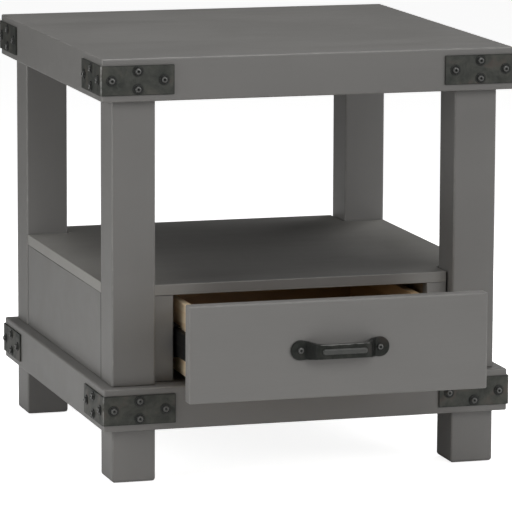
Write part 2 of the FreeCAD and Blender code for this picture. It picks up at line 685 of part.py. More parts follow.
# Half heights of the members, and the races' heights off the slide's middle.
OUTER_HALF = "slide_height / 2"
MIDDLE_HALF = "(slide_height / 2 - steel - race_gap)"
INNER_HALF = "(slide_height / 2 - 2 * steel - 2 * race_gap)"
OUTER_RACE = "(slide_height / 2 - steel - race_gap / 2)"
INNER_RACE = "(slide_height / 2 - 2 * steel - race_gap * 3 / 2)"


def make_slide(name, sign):
    outer = channel(f"slide_outer_{name}",
                    channel_section(sign, "0", MEMBER_EDGE, "steel", OUTER_HALF), SLIDE_Y, SLIDE_LENGTH)
    marks = circles(outer, "screw_marks", "YZ_Plane", f"{sign} * {OPENING}", slide_screw_marks(),
                    "small_screw_radius + bore_play")
    pocket(outer, "screw_holes", marks, "steel", backwards=sign < 0)
    node(outer, f"slide_outer_{name}")

    middle = channel(f"slide_middle_{name}",
                     channel_section(sign, MIDDLE_WEB, MEMBER_EDGE, "steel", MIDDLE_HALF),
                     SLIDE_Y, SLIDE_LENGTH)
    bind(middle, Placement__Base__y="-open_travel / 2")
    node(middle, f"slide_middle_{name}")

    inner = channel(f"slide_inner_{name}",
                    channel_section(sign, "slide_space", INNER_EDGE, "-drawer_web", INNER_HALF),
                    SLIDE_Y, SLIDE_LENGTH)
    marks = circles(inner, "screw_marks", "YZ_Plane", f"{sign} * {BOX_X}", slide_screw_marks(),
                    "small_screw_radius + bore_play")
    pocket(inner, "screw_holes", marks, "drawer_web", backwards=sign > 0)
    bind(inner, Placement__Base__y="-open_travel")
    node(inner, f"slide_inner_{name}")


def make_ball_cage(label, sign, web, edge, race, between, share):
    """A thin channel between two members, with a row of caged balls at its top and its bottom, half way
    between two distances off the partition.  It travels a fixed share of the drawer's way."""
    middle_y = f"({SLIDE_Y} + {SLIDE_LENGTH} / 2)"
    section = channel_section(sign, web, edge, "cage_sheet", f"({race} + cage_sheet / 2)")
    strip = channel(f"{label}_strip", section, f"{middle_y} - cage_length / 2", "cage_length")
    rows = [f"{middle_y} + {step} * ball_pitch" for step in range(-2, 3)]
    x_ball = from_partition(sign, f"({between[0]} + {between[1]}) / 2")
    pierced = circles(strip, "ball_marks", "XY_Plane", f"{SLIDE_Z} + {race} + cage_sheet",
                      [(x_ball, row) for row in rows], f"{BALL_RADIUS} + bore_play")
    pocket(strip, "ball_holes", pierced, f"2 * ({race} + cage_sheet)")
    centres = [FreeCAD.Vector(number(x_ball), number(row), number(f"{SLIDE_Z} + {sign_z} * {race}"))
               for row in rows for sign_z in (-1, 1)]
    balls = [Part.makeSphere(number(BALL_RADIUS), centre) for centre in centres]
    cage = doc.addObject("Part::Feature", label)
    cage.Shape = Part.makeCompound(strip.Shape.Solids + balls)
    bind(cage, Placement__Base__y=f"-open_travel * {share}")
    node(cage, label)


def make_slides():
    for name, sign in SIDES.items():
        make_slide(name, sign)
        make_ball_cage(f"ball_cage_outer_{name}", sign, OUTER_CAGE_WEB, OUTER_CAGE_EDGE, OUTER_RACE,
                       (MIDDLE_WEB, OUTER_CAGE_EDGE), 0.25)
        make_ball_cage(f"ball_cage_inner_{name}", sign, INNER_CAGE_WEB, INNER_CAGE_EDGE, INNER_RACE,
                       (INNER_EDGE, INNER_CAGE_EDGE), 0.75)


# ---------------------------------------------------------------- drawer

def pull_marks():
    return [(f"{sign} * pull_spacing / 2", PULL_Z) for sign in (-1, 1)]


def front_screw_marks():
    middle = f"(({BOX_LOW} + {BOX_HIGH}) / 2)"
    return [(f"{sx} * front_screw_x", f"{middle} + {sz} * front_screw_rise")
            for sx in (-1, 1) for sz in (-1, 1)]


def make_drawer_front():
    front = body("drawer_front")
    width = f"({POST_IN_X} - front_gap)"
    face = outline(front, "face", "XZ_Plane", f"-1 * {CLOSED_Y}",
                   rectangle(f"-{width}", width, "base_level + front_lift", "shelf_level"))
    pad(front, "stock", face, "front_thick")
    face_y = number(f"{CLOSED_Y} - front_thick")
    fillet(front, "eased", "front_round", lambda edge: along(edge, 1) or edge_at(edge, 1, face_y))
    through = circles(front, "pull_marks", "XZ_Plane", f"front_thick - {CLOSED_Y}", pull_marks(),
                      "pull_screw_radius + bore_play")
    pocket(front, "pull_holes", through, "front_thick")
    pilots = circles(front, "pilot_marks", "XZ_Plane", f"-1 * {CLOSED_Y}", front_screw_marks(),
                     "pull_screw_radius + bore_play")
    pocket(front, "pilot_holes", pilots, "front_screw_length - box_thick + bore_play", backwards=True)
    bind(front, Placement__Base__y="-open_travel")
    node(front, "drawer_front")


def groove_section(inside, outside):
    """The groove that holds the drawer bottom, as a rectangle across the board."""
    low = f"{BOX_LOW} + bottom_lift"
    return rectangle(inside, outside, low, f"{low} + bottom_thick + groove_play")


def box_board(name, x0, x1, y0, y1, groove_role, groove_offset, groove, groove_length, drill=None):
    """A grooved board of the drawer box, with its two long top edges eased."""
    made = body(name)
    pad(made, "stock", outline(made, "plan", "XY_Plane", BOX_LOW, rectangle(x0, x1, y0, y1)),
        f"{BOX_HIGH} - {BOX_LOW}")
    top = number(BOX_HIGH)
    axis = 1 if groove_role == "XZ_Plane" else 0
    fillet(made, "eased", "box_ease", lambda edge: edge_at(edge, 2, top) and along(edge, axis))
    pocket(made, "groove", outline(made, "groove_shape", groove_role, groove_offset, groove), groove_length)
    if drill:
        drill(made)
    bind(made, Placement__Base__y="-open_travel")
    return node(made, name)


def drill_sub_front(made):
    marks = circles(made, "screw_marks", "XZ_Plane", f"-1 * {CLOSED_Y}", front_screw_marks() + pull_marks(),
                    "pull_screw_radius + bore_play")
    pocket(made, "screw_holes", marks, "box_thick")


def drill_side(made, sign):
    marks = circles(made, "screw_marks", "YZ_Plane", f"{sign} * {BOX_X}", slide_screw_marks(),
                    "small_screw_radius + bore_play")
    pocket(made, "pilot_holes", marks, "slide_screw_length + bore_play", backwards=sign < 0)


def make_drawer_box():
    inner_x = f"({BOX_X} - box_thick)"
    groove_x = f"({inner_x} + groove_deep)"
    front_in = f"({CLOSED_Y} + box_thick)"
    back_in = f"({BOX_BACK_Y} - box_thick)"
    for name, sign in SIDES.items():
        box_board(f"drawer_side_{name}", f"{sign} * {BOX_X}", f"{sign} * {inner_x}", CLOSED_Y, BOX_BACK_Y,
                  "XZ_Plane", f"-1 * {CLOSED_Y}",
                  groove_section(f"{sign} * {inner_x}", f"{sign} * {groove_x}"),
                  f"{BOX_BACK_Y} - {CLOSED_Y}", drill=lambda made, sign=sign: drill_side(made, sign))
    box_board("drawer_sub_front", f"-{inner_x}", inner_x, CLOSED_Y, front_in, "YZ_Plane", inner_x,
              groove_section(front_in, f"{front_in} - groove_deep"), f"2 * {inner_x}",
              drill=drill_sub_front)
    box_board("drawer_back", f"-{inner_x}", inner_x, back_in, BOX_BACK_Y, "YZ_Plane", inner_x,
              groove_section(back_in, f"{back_in} + groove_deep"), f"2 * {inner_x}")
    tongue = "(groove_deep - groove_play)"
    low = f"{BOX_LOW} + bottom_lift"
    board("drawer_bottom", f"-1 * ({inner_x} + {tongue})", f"{inner_x} + {tongue}",
          f"{front_in} - {tongue} - open_travel", f"{back_in} + {tongue} - open_travel",
          low, f"{low} + bottom_thick")


def make_pull():
    """A strap pull: made about its own middle, with the drawer front's face at y = 0, then moved."""
    pull = body("handle_pull")
    plate_end = "(pull_spacing / 2 + pull_plate)"
    plate_in = "(pull_spacing / 2 - pull_foot)"
    foot_in = f"({plate_in} - pull_root)"
    inner_bend = "(pull_bend - pull_bend_inner)"
    half = [(plate_end, "0"), (plate_end, "-pull_plate_thick"), (plate_in, "-pull_plate_thick"),
            ("pull_bend", "-pull_stand")]
    across = half + [(f"-1 * {x}", y) for x, y in reversed(half)]
    across += [(f"-1 * {foot_in}", "0"), (f"-1 * {inner_bend}", "pull_strap - pull_stand"),
               (inner_bend, "pull_strap - pull_stand"), (foot_in, "0")]
    pad(pull, "strap", outline(pull, "bends", "XY_Plane", "-pull_plate", across), "2 * pull_plate")
    stand, thick = number("-pull_stand"), SIZE["pull_strap"]
    fillet(pull, "outer_bends", "pull_bend_outer", lambda edge: along(edge, 2) and edge_at(edge, 1, stand))
    fillet(pull, "inner_bends", "pull_bend_inner",
           lambda edge: along(edge, 2) and edge_at(edge, 1, stand + thick))
    fillet(pull, "foot_bends", "pull_foot_bend",
           lambda edge: along(edge, 2) and edge_at(edge, 1, -SIZE["pull_plate_thick"])
           and abs(edge.BoundBox.XMin) < number(plate_in) + 1)
    end = number(plate_end)
    fillet(pull, "round_ends", "pull_plate - round_spare",
           lambda edge: along(edge, 1) and abs(abs(edge.BoundBox.XMin) - end) < 1e-3)
    plate_face = -SIZE["pull_plate_thick"]
    fillet(pull, "plate_rims", "plate_rim",
           lambda edge: edge_at(edge, 1, plate_face) and not along(edge, 2) and not along(edge, 0))
    flare = "(pull_spacing / 2 - pull_flare)"
    neck = "(pull_bend - pull_neck)"
    for name, sign in (("above", 1), ("below", -1)):
        waist = [(f"-1 * {flare}", f"{sign} * pull_plate"), (f"-1 * {neck}", f"{sign} * pull_half_height"),
                 (neck, f"{sign} * pull_half_height"), (flare, f"{sign} * pull_plate"),
                 (flare, f"{sign} * (pull_plate + cut_margin)"),
                 (f"-1 * {flare}", f"{sign} * (pull_plate + cut_margin)")]
        sketch = outline(pull, f"waist_{name}", "XZ_Plane", "pull_stand + cut_margin", waist)
        pocket(pull, f"narrow_{name}", sketch, "pull_stand + 2 * cut_margin")
    bead = outline(pull, "bead_shape", "XZ_Plane", "pull_stand - bead_root",
                   rectangle("-bead_length / 2", "bead_length / 2", "-bead_height / 2", "bead_height / 2"))
    pad(pull, "bead", bead, "bead_proud + bead_root")
    crown = number("-pull_stand - bead_proud")
    fillet(pull, "bead_ends", "bead_height / 2 - 2 * round_spare",
           lambda edge: along(edge, 1) and abs(edge.BoundBox.YMin - crown) < 1e-3)
    fillet(pull, "bead_round", "bead_proud - 4 * round_spare", lambda edge: edge_at(edge, 1, crown))
    marks = [(f"{sign} * pull_spacing / 2", "0") for sign in (-1, 1)]
    holes = circles(pull, "screw_marks", "XZ_Plane", "pull_plate_thick", marks,
                    "pull_screw_radius + bore_play")
    pocket(pull, "screw_holes", holes, "pull_plate_thick")
    bind(pull, Placement__Base__y=f"{CLOSED_Y} - front_thick - open_travel", Placement__Base__z=PULL_Z)
    node(pull, "handle_pull")


def make_drawer_screws():
    face_y = number(f"{CLOSED_Y} - front_thick - open_travel - pull_plate_thick")
    screw = button_screw("pull_screw", "pull_screw_radius", "pull_screw_length + pull_plate_thick")
    height = number(PULL_Z)
    places = [facing(FreeCAD.Vector(sign * SIZE["pull_spacing"] / 2, face_y, height), FreeCAD.Vector(0, 1, 0))
              for sign in (-1, 1)]
    copies("handle_screws", (screw, places))

    slide_screw = flat_screw("slide_screw", "small_screw_radius", "slide_screw_length + steel")
    rows = [(number(along_y), number(up)) for along_y, up in slide_screw_marks()]
    web = number(f"{OPENING} - steel")
    places = [facing(FreeCAD.Vector(sign * web, y, z), FreeCAD.Vector(sign, 0, 0))
              for sign in SIDES.values() for y, z in rows]
    copies("slide_screws_cabinet", (slide_screw, places))

    drawer_slide_screw = flat_screw("drawer_slide_screw", "small_screw_radius",
                                    "slide_screw_length + drawer_web")
    web = number(f"{BOX_X} + drawer_web")
    travel = SIZE["open_travel"]
    places = [facing(FreeCAD.Vector(sign * web, y - travel, z), FreeCAD.Vector(-sign, 0, 0))
              for sign in SIDES.values() for y, z in rows]
    front_screw = flat_screw("front_screw", "pull_screw_radius", "front_screw_length")
    inside_y = number(f"{CLOSED_Y} + box_thick - open_travel")
    marks = [(number(x), number(z)) for x, z in front_screw_marks()]
    front_places = [facing(FreeCAD.Vector(x, inside_y, z), FreeCAD.Vector(0, -1, 0)) for x, z in marks]
    copies("drawer_screws", (drawer_slide_screw, places), (front_screw, front_places))


# ---------------------------------------------------------------- build, check and write

make_slabs()
make_corner_blocks()
make_posts_and_feet()
make_studs_and_glides()
make_brackets()
make_cabinet()
make_slides()
make_drawer_front()
make_drawer_box()
make_pull()
make_drawer_screws()
doc.recompute()

faults = [f"{item.Name}: {item.State}" for item in doc.Objects
          if any("Invalid" in word or "Error" in word for word in item.State)]
for item in NODES:
    if item.Shape.isNull() or not item.Shape.isValid() or not item.Shape.Solids:
        faults.append(f"{item.Label}: no valid shape")
if len({item.Label for item in NODES}) != len(NODES):
    faults.append("two pieces share a label")
if faults:
    raise RuntimeError("; ".join(faults))

os.makedirs("parts", exist_ok=True)
for item in NODES:
    item.Shape.exportStep(f"parts/{item.Label}.step")
    volume = item.Shape.Volume / 1000
    print(f"{item.Label:26s} solids {len(item.Shape.Solids):3d}  volume {volume:9.2f} cm3")
print(len(NODES), "pieces")
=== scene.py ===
"""Looks for the side table: painted boards, a pine drawer, blackened iron fittings, floor, lights, camera."""
import math

import bmesh
import bpy
from mathutils import Matrix, Vector


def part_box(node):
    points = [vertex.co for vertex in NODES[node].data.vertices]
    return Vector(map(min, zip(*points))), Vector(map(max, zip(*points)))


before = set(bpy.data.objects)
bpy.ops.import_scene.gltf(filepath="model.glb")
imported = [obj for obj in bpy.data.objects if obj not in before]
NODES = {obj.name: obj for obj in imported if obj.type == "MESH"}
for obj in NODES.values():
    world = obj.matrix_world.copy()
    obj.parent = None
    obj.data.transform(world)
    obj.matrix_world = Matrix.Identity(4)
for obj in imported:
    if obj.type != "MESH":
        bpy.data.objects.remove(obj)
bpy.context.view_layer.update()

MM = 0.001
FAR = 10.0  # metres, well beyond the table on any side
# Which way each corner of the table lies, along X and along Y.
CORNERS = {"front_left": (-1, -1), "front_right": (1, -1), "back_left": (-1, 1), "back_right": (1, 1)}


# ---------------------------------------------------------------- wiring materials

def wire(tree, node, inputs):
    """Set a node's inputs to plain values, or wire them from other nodes' outputs."""
    for name, value in inputs.items():
        if isinstance(value, bpy.types.NodeSocket):
            tree.links.new(value, node.inputs[name])
        else:
            node.inputs[name].default_value = value


def add(tree, kind, inputs=None, **settings):
    """One node with its settings and its inputs."""
    node = tree.nodes.new(kind)
    for name, value in settings.items():
        setattr(node, name, value)
    wire(tree, node, inputs or {})
    return node


def calc(tree, operation, *values):
    """Arithmetic on single values."""
    return add(tree, "ShaderNodeMath", dict(enumerate(values)), operation=operation).outputs[0]


def calc_vector(tree, operation, *values):
    """Arithmetic on places."""
    return add(tree, "ShaderNodeVectorMath", dict(enumerate(values)), operation=operation).outputs[0]


def scaled(tree, place, by):
    return add(tree, "ShaderNodeVectorMath", {0: place, "Scale": by}, operation="SCALE").outputs[0]


def stretched(tree, place, by):
    """A place scaled by a factor of its own along X, Y and Z."""
    return calc_vector(tree, "MULTIPLY", place, by)


def distance(tree, place, point):
    return add(tree, "ShaderNodeVectorMath", {0: place, 1: point}, operation="DISTANCE").outputs["Value"]


def xyz(tree, place):
    """A place's X, Y and Z as three values."""
    return add(tree, "ShaderNodeSeparateXYZ", {0: place}).outputs


def spread(tree, value, low, high, to_low=0.0, to_high=1.0, smooth=False):
    """The value moved from one range to another, and held inside it."""
    ranges = {"Value": value, "From Min": low, "From Max": high, "To Min": to_low, "To Max": to_high}
    kind = "SMOOTHSTEP" if smooth else "LINEAR"
    return add(tree, "ShaderNodeMapRange", ranges, interpolation_type=kind).outputs["Result"]


# A Mix node's colour sockets go by number: it has others of the same names for values and places.
MIX_SHARE, MIX_UNDER, MIX_OVER, MIX_RESULT = 0, 6, 7, 2


def mix_colours(tree, share, under, over, how="MIX"):
    """A share of one colour over another, or of the two multiplied."""
    inputs = {MIX_SHARE: share, MIX_UNDER: under, MIX_OVER: over}
    return add(tree, "ShaderNodeMix", inputs, data_type="RGBA", blend_type=how).outputs[MIX_RESULT]


def lay(tree, mask, share, under, over, how="MIX"):
    """A plain colour laid over another, as strongly as a mask and a share say."""
    return mix_colours(tree, calc(tree, "MULTIPLY", mask, share), under, (*over, 1), how)


def shades(tree, value, stops):
    """A run of colours along a value from 0 to 1."""
    ramp = add(tree, "ShaderNodeValToRGB", {"Fac": value})
    points = ramp.color_ramp.elements
    while len(points) < len(stops):
        points.new(1.0)
    for point, (place, colour) in zip(points, stops):
        point.position = place
        point.color = (*colour, 1.0)
    return ramp.outputs["Color"]


def noise(tree, place, scale, detail=3.0, rough=0.5, distort=0.0):
    """Cloudy noise from 0 to 1, mostly near a half."""
    inputs = {"Vector": place, "Scale": scale, "Detail": detail, "Roughness": rough, "Distortion": distort}
    return add(tree, "ShaderNodeTexNoise", inputs).outputs[0]


def cells(tree, place, scale, feature="F1"):
    """The distance to the nearest of some scattered points."""
    inputs = {"Vector": place, "Scale": scale}
    return add(tree, "ShaderNodeTexVoronoi", inputs, feature=feature).outputs["Distance"]


def new_group(name, inputs, outputs):
    """An empty shader node group with its sockets: returns its tree, what comes in and what goes out."""
    tree = bpy.data.node_groups.new(name, "ShaderNodeTree")
    for label, kind, value in inputs:
        socket = tree.interface.new_socket(name=label, in_out="INPUT", socket_type=f"NodeSocket{kind}")
        socket.default_value = value
    for label, kind in outputs:
        tree.interface.new_socket(name=label, in_out="OUTPUT", socket_type=f"NodeSocket{kind}")
    return tree, tree.nodes.new("NodeGroupInput").outputs, tree.nodes.new("NodeGroupOutput").inputs


def use_group(tree, group, inputs):
    """One of the shared effects placed in a material: returns what it puts out."""
    return add(tree, "ShaderNodeGroup", inputs, node_tree=group).outputs


# ---------------------------------------------------------------- effects that several finishes share

def make_edge_nearness():
    """How near a point of a board is to the edges of a box, broken up as rubbing breaks it up.  The second
    smallest distance to the box's faces is that to its nearest edge.  The mask serves worn edges, and also
    painted shade and painted highlights along edges and joints."""
    tree, given, out = new_group(
        "edge_nearness",
        [("Place", "Vector", (0, 0, 0)), ("Middle", "Vector", (0, 0, 0)), ("Half", "Vector", (1, 1, 1)),
         ("Width", "Float", 0.003), ("Patches", "Float", 60.0)],
        [("Near Edge", "Float")])
    off = calc_vector(tree, "SUBTRACT", given["Place"], given["Middle"])
    depth = calc_vector(tree, "SUBTRACT", given["Half"], calc_vector(tree, "ABSOLUTE", off))
    across, along, up = xyz(tree, depth)
    nearer = calc(tree, "MINIMUM", across, along)
    farther = calc(tree, "MAXIMUM", across, along)
    second = calc(tree, "MAXIMUM", nearer, calc(tree, "MINIMUM", farther, up))
    patchy = noise(tree, given["Place"], given["Patches"], detail=4.0, rough=0.6)
    reach = calc(tree, "MULTIPLY", given["Width"], spread(tree, patchy, 0.35, 0.68, 0.25, 1.6))
    near_edge = calc(tree, "SUBTRACT", 1.0, calc(tree, "DIVIDE", second, reach))
    tree.links.new(spread(tree, near_edge, 0.0, 0.8, smooth=True), out["Near Edge"])
    return tree


def make_dust():
    """Dust and handling marks: soft clouds with a few long wipes, and specks in some places."""
    tree, given, out = new_group("dust", [("Place", "Vector", (0, 0, 0)), ("Scale", "Float", 1.0)],
                                 [("Cloud", "Float"), ("Specks", "Float")])
    place = scaled(tree, given["Place"], given["Scale"])
    cloud = noise(tree, place, 7.0, detail=5.0, rough=0.6, distort=0.6)
    wipes = noise(tree, stretched(tree, place, (3.0, 26.0, 26.0)), 1.0, rough=0.55)
    both = calc(tree, "MULTIPLY_ADD", wipes, 0.35, calc(tree, "MULTIPLY", cloud, 0.65))
    tree.links.new(spread(tree, both, 0.36, 0.66, smooth=True), out["Cloud"])
    specks = spread(tree, cells(tree, place, 210.0), 0.0, 0.16, 1.0, 0.0)
    some_places = spread(tree, noise(tree, place, 31.0, detail=2.0), 0.56, 0.66)
    tree.links.new(calc(tree, "MULTIPLY", specks, some_places), out["Specks"])
    return tree


def make_wood_figure():
    """Wood with its grain along X: long rings, fine pores and slow changes of tone."""
    tree, given, out = new_group(
        "wood_figure",
        [("Place", "Vector", (0, 0, 0)), ("Ring Scale", "Float", 14.0), ("Waver", "Float", 0.9)],
        [("Rings", "Float"), ("Pores", "Float"), ("Tone", "Float")])
    place = given["Place"]
    sway = noise(tree, stretched(tree, place, (1.4, 7.0, 7.0)), 1.0)
    off_line = scaled(tree, (0.03, 0.07, 0.05), calc(tree, "MULTIPLY", sway, given["Waver"]))
    swayed = calc_vector(tree, "ADD", stretched(tree, place, (0.32, 1.0, 1.0)), off_line)
    rings = add(tree, "ShaderNodeTexWave",
                {"Vector": swayed, "Scale": given["Ring Scale"], "Distortion": 2.2, "Detail": 3.0,
                 "Detail Scale": 1.6, "Detail Roughness": 0.6},
                wave_type="RINGS", rings_direction="X", wave_profile="SAW")
    tree.links.new(rings.outputs["Fac"], out["Rings"])
    pores = noise(tree, stretched(tree, place, (38.0, 1500.0, 1500.0)), 1.0, detail=2.0, rough=0.6)
    tree.links.new(spread(tree, pores, 0.42, 0.66), out["Pores"])
    tone = noise(tree, stretched(tree, place, (2.0, 22.0, 22.0)), 1.0, detail=4.0, rough=0.6)
    tree.links.new(tone, out["Tone"])
    return tree


def make_scale_and_pits():
    """Iron from a hot forge: broad mottling, scale that has flaked, small pits and hammer marks."""
    tree, given, out = new_group(
        "scale_and_pits",
        [("Place", "Vector", (0, 0, 0)), ("Mottle Scale", "Float", 45.0), ("Pit Scale", "Float", 420.0)],
        [("Mottle", "Float"), ("Scale", "Float"), ("Unpitted", "Float"), ("Height", "Float")])
    place = given["Place"]
    mottle = noise(tree, place, given["Mottle Scale"], detail=6.0, rough=0.62, distort=0.8)
    tree.links.new(mottle, out["Mottle"])
    finer = calc(tree, "MULTIPLY", given["Mottle Scale"], 3.3)
    flaked = noise(tree, place, finer, detail=5.0, rough=0.7, distort=0.4)
    tree.links.new(spread(tree, flaked, 0.47, 0.6, smooth=True), out["Scale"])
    beside_pits = spread(tree, cells(tree, place, given["Pit Scale"]), 0.05, 0.32)
    some_places = spread(tree, noise(tree, place, 95.0, detail=2.0), 0.45, 0.6)
    in_pits = calc(tree, "MULTIPLY", calc(tree, "SUBTRACT", 1.0, beside_pits), some_places)
    unpitted = calc(tree, "SUBTRACT", 1.0, in_pits)
    tree.links.new(unpitted, out["Unpitted"])
    dents = cells(tree, place, calc(tree, "MULTIPLY", given["Mottle Scale"], 1.7), "SMOOTH_F1")
    height = calc(tree, "MULTIPLY_ADD", dents, 0.9, calc(tree, "MULTIPLY", flaked, 0.5))
    tree.links.new(calc(tree, "MULTIPLY_ADD", unpitted, 0.25, height), out["Height"])
    return tree


# Bracket screws on a slab's side: from the slab's corner, and above or below the middle of its edge.
BRACKET_SCREWS = ((13.5 * MM, 0.0), (51.5 * MM, 12.7 * MM), (89.5 * MM, 0.0))


def make_screw_rings():
    """How far a point on a slab's side is from the axis of the nearest bracket screw."""
    tree, given, out = new_group(
        "screw_rings",
        [("Place", "Vector", (0, 0, 0)), ("Middle", "Vector", (0, 0, 0)), ("Half", "Vector", (1, 1, 1))],
        [("Off Axis", "Float")])
    off = calc_vector(tree, "ABSOLUTE", calc_vector(tree, "SUBTRACT", given["Place"], given["Middle"]))
    depth_x, depth_y, _ = xyz(tree, calc_vector(tree, "SUBTRACT", given["Half"], off))
    from_corner = calc(tree, "MAXIMUM", depth_x, depth_y)
    rise = xyz(tree, off)[2]
    spot = add(tree, "ShaderNodeCombineXYZ", {0: from_corner, 1: rise}).outputs[0]
    nearest = FAR
    for screw in BRACKET_SCREWS:
        nearest = calc(tree, "MINIMUM", distance(tree, spot, (*screw, 0.0)), nearest)
    tree.links.new(nearest, out["Off Axis"])
    return tree


EDGE_NEARNESS = make_edge_nearness()
DUST = make_dust()
WOOD_FIGURE = make_wood_figure()
SCALE_AND_PITS = make_scale_and_pits()
SCREW_RINGS = make_screw_rings()


# ---------------------------------------------------------------- what every finish starts with

def new_finish(name):
    """A material with its shader, and the place on the piece that its pattern is read at."""
    material = bpy.data.materials.new(name)
    material.use_nodes = True
    tree = material.node_tree
    tree.nodes.clear()
    shader = tree.nodes.new("ShaderNodeBsdfPrincipled")
    output = tree.nodes.new("ShaderNodeOutputMaterial")
    tree.links.new(shader.outputs["BSDF"], output.inputs["Surface"])
    place = tree.nodes.new("ShaderNodeTexCoord").outputs["Object"]
    return material, tree, shader, place


def finish_surface(tree, shader, colour, roughness, height, depth, strength):
    """Wire a pattern to the shader: depth is how far its relief goes, in metres."""
    relief = add(tree, "ShaderNodeBump", {"Height": height, "Distance": depth, "Strength": strength})
    wire(tree, shader, {"Base Color": colour, "Roughness": roughness, "Normal": relief.outputs["Normal"]})


# How a board is turned to bring its grain onto X, and how far one board's figure is from the next one's.
GRAIN_TURNS = {"X": (0, 0, 0), "Y": (0, 0, -math.pi / 2), "Z": (0, math.pi / 2, 0)}
NEXT_FIGURE = Vector((0.37, 0.173, 0.119))


def grain_place(tree, place, along, shift):
    """The place turned so that X runs along the board, and moved so that no two boards are alike."""
    inputs = {"Vector": place, "Rotation": GRAIN_TURNS[along], "Location": shift * NEXT_FIGURE}
    return add(tree, "ShaderNodeMapping", inputs).outputs["Vector"]


def box_of(*names):
    """Middle and half size of the box round some of the table's pieces."""
    corners = [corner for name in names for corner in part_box(name)]
    low = Vector(map(min, zip(*corners)))
    high = Vector(map(max, zip(*corners)))
    return (low + high) / 2, (high - low) / 2


def slab_box(tier):
    """The box round a slab's four rails."""
    return box_of(*[f"{tier}_rail_{side}" for side in ("front", "back", "left", "right")])


def give(finish, *names):
    """Put one finish on some of the table's pieces."""
    for name in names:
        slots = NODES[name].data.materials
        slots.clear()
        slots.append(finish)


# ---------------------------------------------------------------- painted boards

PAINT = (0.151, 0.147, 0.141)
PAINT_THIN_AND_HIGHLIT = (0.245, 0.238, 0.226)
PAINT_DEEP = (0.126, 0.123, 0.117)
PAINT_DUSTY = (0.205, 0.200, 0.190)
DUST_SPECK_AND_LIT_END = (0.27, 0.262, 0.245)
SEAM_SHADE = (0.020, 0.019, 0.018)
WORN_AND_HIGHLIT_EDGE = 2.0 * MM
SEAM_SHADE_WIDTH = 1.6 * MM
# A side panel's seam of painted shade is drawn in by this much, to show beside the posts.
SEAM_SHADE_LAP = 1.5 * MM
PAINT_RELIEF = 0.06 * MM

# Boards whose paint is made lighter or darker as painted light and shade, the drawer front and stiles lit and
# the shelf shaded under the top, and how far from its middle the shelf's ends are lightened as painted light.
LIT_AND_SHADED_TONES = {"shelf": 0.82, "drawer_front": 1.14, "stile_left": 1.1, "stile_right": 1.1}
LIT_ENDS = {"shelf": 270.0 * MM}


def toned(colour, tone):
    """A colour made lighter or darker."""
    return tuple(tone * part for part in colour)


def painted(name, along, shift, middle, half, seam_shade=None):
    """Satin warm-grey paint: sprayed, rubbed down and sprayed again, with the wood's grain showing a little
    through it and the coat thinner where an edge has been eased, the lighter edges also a painted highlight.
    Some boards' paint is lighter or darker as painted light and shade, and the shelf's ends are lightened as
    painted light.
    A seam is the box of a board that is let in between others, dark where it meets them as painted shade."""
    material, tree, shader, place = new_finish(f"{name}_paint")
    wood = use_group(tree, WOOD_FIGURE, {"Place": grain_place(tree, place, along, shift),
                                         "Ring Scale": 9.0, "Waver": 1.2})
    dust = use_group(tree, DUST, {"Place": place, "Scale": 1.0})
    near_edge = use_group(tree, EDGE_NEARNESS, {"Place": place, "Middle": middle, "Half": half,
                                       "Width": WORN_AND_HIGHLIT_EDGE, "Patches": 55.0})["Near Edge"]
    # Painted light and shade: some boards' paint made lighter or darker for how the light falls on them.
    tone = LIT_AND_SHADED_TONES.get(name, 1.0)
    cloudy = spread(tree, wood["Tone"], 0.3, 0.7)
    colour = lay(tree, cloudy, 0.22, (*toned(PAINT, tone), 1), toned(PAINT_DEEP, tone))
    colour = lay(tree, dust["Cloud"], 0.10, colour, PAINT_DUSTY)
    colour = lay(tree, wood["Pores"], 0.09, colour, PAINT_DEEP)
    # Eased edges lighter: thinner paint, and a painted highlight along the edge.
    colour = lay(tree, near_edge, 0.38, colour, PAINT_THIN_AND_HIGHLIT)
    colour = lay(tree, dust["Specks"], 0.18, colour, DUST_SPECK_AND_LIT_END)
    # The seam's dark line is painted shade in the joint's gap.
    if seam_shade:
        joint_shade = use_group(tree, EDGE_NEARNESS, {"Place": place, "Middle": seam_shade[0], "Half": seam_shade[1],
                                            "Width": SEAM_SHADE_WIDTH, "Patches": 12.0})["Near Edge"]
        colour = lay(tree, joint_shade, 0.85, colour, SEAM_SHADE)
    # Painted light: the shelf lighter towards its ends, in the colour of the dust specks.
    if name in LIT_ENDS:
        off_middle = calc(tree, "ABSOLUTE", xyz(tree, place)[0])
        shelf_lit_ends = spread(tree, off_middle, 0.4 * LIT_ENDS[name], LIT_ENDS[name], smooth=True)
        colour = lay(tree, shelf_lit_ends, 0.75, colour, DUST_SPECK_AND_LIT_END)
    roughness = spread(tree, dust["Cloud"], 0.0, 1.0, 0.42, 0.49)
    roughness = calc(tree, "MULTIPLY_ADD", near_edge, 0.06, roughness)
    peel = noise(tree, place, 780.0, detail=2.0)
    height = calc(tree, "MULTIPLY_ADD", wood["Pores"], -0.30, calc(tree, "MULTIPLY", peel, 0.6))
    height = calc(tree, "MULTIPLY_ADD", wood["Rings"], 0.04, height)
    finish_surface(tree, shader, colour, roughness, height, PAINT_RELIEF, 0.55)
    wire(tree, shader, {"Specular IOR Level": 0.45})
    return material


def paint_slab(tier, *panels):
    """A slab's rails and panels wear, and get their painted edge highlight, only at the slab's own outside.
    """
    middle, half = slab_box(tier)
    grains = {"front": "X", "back": "X", "left": "Y", "right": "Y"}
    for shift, (side, along) in enumerate(grains.items(), 1):
        give(painted(f"{tier}_{side}", along, shift, middle, half), f"{tier}_rail_{side}")
    for shift, panel in enumerate(panels, 7):
        give(painted(panel, "X", shift, middle, half), panel)


